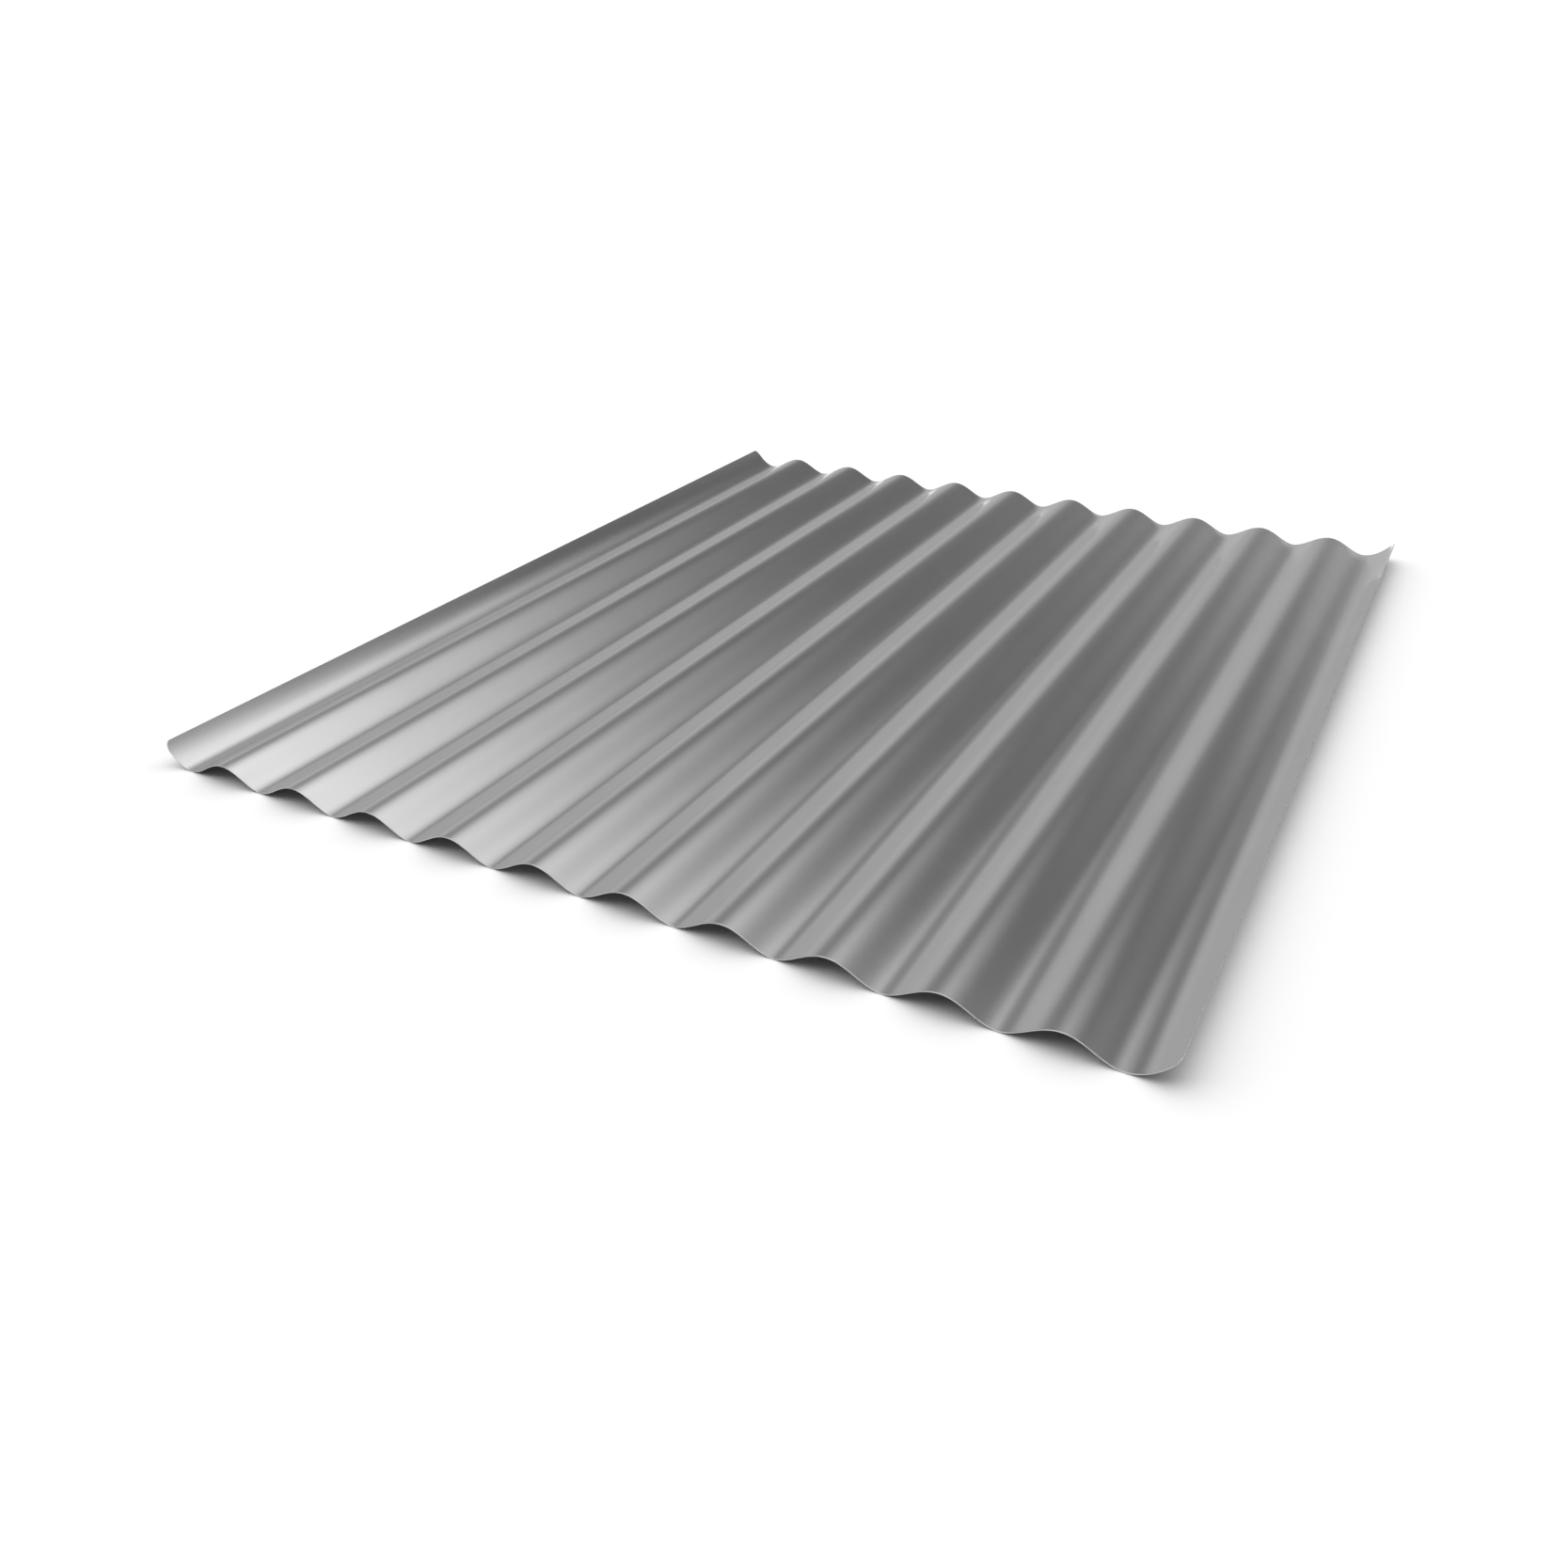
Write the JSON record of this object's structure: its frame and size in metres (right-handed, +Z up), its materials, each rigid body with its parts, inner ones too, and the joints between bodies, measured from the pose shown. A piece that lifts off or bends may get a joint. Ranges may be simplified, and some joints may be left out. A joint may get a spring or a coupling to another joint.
{
  "type": "corrugated metal sheet",
  "caption": "Corrugated metal roofing sheet lying flat: one thin steel sheet rolled into even round waves, with both long edges turned up and the corners slightly rounded.",
  "frame": {"origin": "on the floor under the middle of the sheet, 1.7 mm right of the middle valley and halfway along", "axes": "+X across the waves, +Y along the waves, +Z up from the floor that the sheet lies on"},
  "size_m": [0.8202, 0.985, 0.0201],
  "materials": {
    "galvanised_steel": "satin"
  },
  "bodies": {
    "root": {"corrugated_sheet": "galvanised_steel"}
  },
  "joints": []
}
